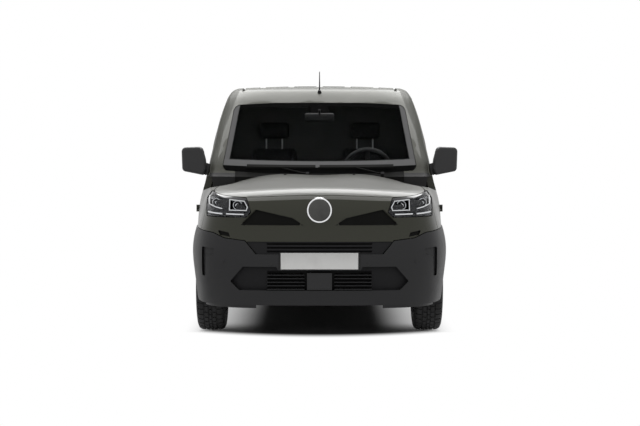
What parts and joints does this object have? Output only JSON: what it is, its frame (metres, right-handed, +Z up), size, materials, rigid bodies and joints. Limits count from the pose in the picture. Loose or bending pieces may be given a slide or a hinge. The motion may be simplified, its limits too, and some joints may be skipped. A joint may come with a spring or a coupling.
{
  "type": "compact panel van",
  "caption": "Compact panel van with a two-seat cab, an enclosed load space behind a bulkhead, a sliding side door, unequal hinged rear doors and steered front wheels.",
  "frame": {"origin": "on the ground under the middle of the van's bounding box", "axes": "+Z up, the front faces -Y, +X is the van's left side"},
  "size_m": [2.1098, 4.3999, 1.9224],
  "materials": {
    "body_paint": "dark metallic paint, gloss",
    "floor_paint": "dark paint, satin",
    "bumper_plastic": "grained dark grey",
    "black_plastic": "gloss black",
    "lamp_lens": "clear lens",
    "tail_lens": "red lens",
    "clear_glass": "clear, faint green tint",
    "trim_panel": "grey paint, satin",
    "cab_plastic": "grained charcoal",
    "seat_cloth": "woven charcoal cloth",
    "cast_metal": "as cast",
    "chassis_steel": "black underbody paint",
    "tank_plastic": "black moulded",
    "tyre_rubber": "black rubber",
    "wheel_paint": "silver grey paint"
  },
  "bodies": {
    "body": {"antenna": "black_plastic", "bulkhead": "trim_panel", "cowl": "bumper_plastic", "dashboard": "cab_plastic", "engine_block": "cast_metal", "exhaust": "chassis_steel", "floor_pan": "floor_paint", "front_bumper": "bumper_plastic", "front_panel": "body_paint", "front_suspension": "chassis_steel", "front_wing_left": "body_paint", "front_wing_right": "body_paint", "fuel_tank": "tank_plastic", "grille": "black_plastic", "headlamp_left": "lamp_lens", "headlamp_right": "lamp_lens", "nose_disc": "cast_metal", "radiator": "chassis_steel", "rear_axle": "chassis_steel", "rear_bumper": "bumper_plastic", "roof_panel": "body_paint", "seat_driver": "seat_cloth", "seat_passenger": "seat_cloth", "side_panel_left": "body_paint", "side_panel_right": "body_paint", "sliding_door_right": "body_paint", "tail_lamps": "tail_lens", "wheel_liners": "bumper_plastic", "windscreen": "clear_glass", "wipers": "black_plastic"},
    "bonnet": {"bonnet": "body_paint"},
    "front_door_left": {"front_door_left": "body_paint", "door_glass_left": "clear_glass", "mirror_left": "bumper_plastic"},
    "front_door_right": {"front_door_right": "body_paint", "door_glass_right": "clear_glass", "mirror_right": "bumper_plastic"},
    "rear_door_left": {"rear_door_left": "body_paint"},
    "rear_door_right": {"rear_door_right": "body_paint"},
    "steering_wheel": {"steering_wheel": "cab_plastic"},
    "knuckle_left": {"knuckle_left": "cast_metal"},
    "knuckle_right": {"knuckle_right": "cast_metal"},
    "wheel_front_left": {"tyre_front_left": "tyre_rubber", "rim_front_left": "wheel_paint"},
    "wheel_front_right": {"tyre_front_right": "tyre_rubber", "rim_front_right": "wheel_paint"},
    "wheel_rear_left": {"tyre_rear_left": "tyre_rubber", "rim_rear_left": "wheel_paint"},
    "wheel_rear_right": {"tyre_rear_right": "tyre_rubber", "rim_rear_right": "wheel_paint"}
  },
  "joints": [
    {"name": "bonnet_hinge", "type": "hinge", "parent": "body", "child": "bonnet", "pos_m": [0, -0.901, 1.125], "axis": [-1, 0, 0], "range_deg": [0, 58]},
    {"name": "front_door_left_hinge", "type": "hinge", "parent": "body", "child": "front_door_left", "pos_m": [0.929, -0.7675, 0.9], "axis": [0, 0, -1], "range_deg": [0, 68]},
    {"name": "front_door_right_hinge", "type": "hinge", "parent": "body", "child": "front_door_right", "pos_m": [-0.929, -0.7675, 0.9], "axis": [0, 0, 1], "range_deg": [0, 68]},
    {"name": "rear_door_left_hinge", "type": "hinge", "parent": "body", "child": "rear_door_left", "pos_m": [0.796, 2.191, 0.9], "axis": [0, 0, -1], "range_deg": [0, 180]},
    {"name": "rear_door_right_hinge", "type": "hinge", "parent": "body", "child": "rear_door_right", "pos_m": [-0.796, 2.191, 0.9], "axis": [0, 0, 1], "range_deg": [0, 180]},
    {"name": "steer_left", "type": "hinge", "parent": "body", "child": "knuckle_left", "pos_m": [0.7365, -1.3095, 0.326], "axis": [0, 0, 1], "range_deg": [-36, 36]},
    {"name": "steer_right", "type": "hinge", "parent": "body", "child": "knuckle_right", "pos_m": [-0.7365, -1.3095, 0.326], "axis": [0, 0, 1], "range_deg": [-36, 36]},
    {"name": "steering_wheel_turn", "type": "hinge", "parent": "body", "child": "steering_wheel", "pos_m": [0.372, -0.4795, 1.145], "axis": [0, 0.8829, 0.4695], "range_deg": [-540, 540]},
    {"name": "wheel_front_left_spin", "type": "hinge", "parent": "knuckle_left", "child": "wheel_front_left", "pos_m": [0.7765, -1.3095, 0.326], "axis": [1, 0, 0], "continuous": true},
    {"name": "wheel_front_right_spin", "type": "hinge", "parent": "knuckle_right", "child": "wheel_front_right", "pos_m": [-0.7765, -1.3095, 0.326], "axis": [1, 0, 0], "continuous": true},
    {"name": "wheel_rear_left_spin", "type": "hinge", "parent": "body", "child": "wheel_rear_left", "pos_m": [0.785, 1.4755, 0.326], "axis": [1, 0, 0], "continuous": true},
    {"name": "wheel_rear_right_spin", "type": "hinge", "parent": "body", "child": "wheel_rear_right", "pos_m": [-0.785, 1.4755, 0.326], "axis": [1, 0, 0], "continuous": true}
  ],
  "couplings": [
    {"joint": "steer_right", "follows": "steer_left", "ratio": 1},
    {"joint": "steering_wheel_turn", "follows": "steer_left", "ratio": 15}
  ]
}
